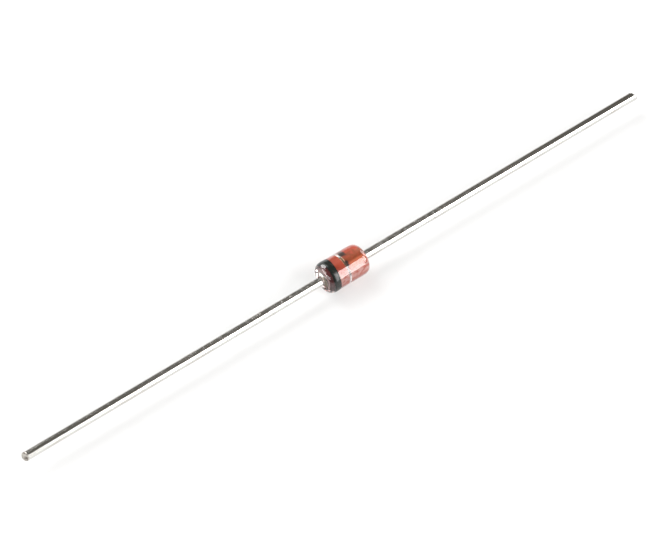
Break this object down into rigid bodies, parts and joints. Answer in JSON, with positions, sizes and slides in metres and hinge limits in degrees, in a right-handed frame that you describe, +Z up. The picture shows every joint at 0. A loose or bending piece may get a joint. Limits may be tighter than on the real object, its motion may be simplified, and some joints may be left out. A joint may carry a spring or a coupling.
{
  "type": "zener diode",
  "caption": "Glass-sleeved axial diode: two red slugs sealed in clear glass around a silicon chip, a black ring marking the cathode end, and a straight tinned wire lead at each end.",
  "frame": {"origin": "middle of the glass, on the lead axis", "axes": "+X along the leads from the cathode end, marked by the black ring, to the anode end; +Z up"},
  "size_m": [0.059, 0.0026, 0.0026],
  "materials": {
    "clear_glass": "clear, fire polished",
    "band_ink": "baked black ink",
    "slug_oxide": "red copper oxide under glass",
    "silicon": "lapped silicon",
    "contact_silver": "plated silver",
    "tinned_wire": "bright tin plate, drawn"
  },
  "bodies": {
    "root": {"glass_sleeve": "clear_glass", "cathode_band": "band_ink", "cathode_slug": "slug_oxide", "anode_slug": "slug_oxide", "silicon_die": "silicon", "contact_bump": "contact_silver", "cathode_lead": "tinned_wire", "anode_lead": "tinned_wire"}
  },
  "joints": []
}
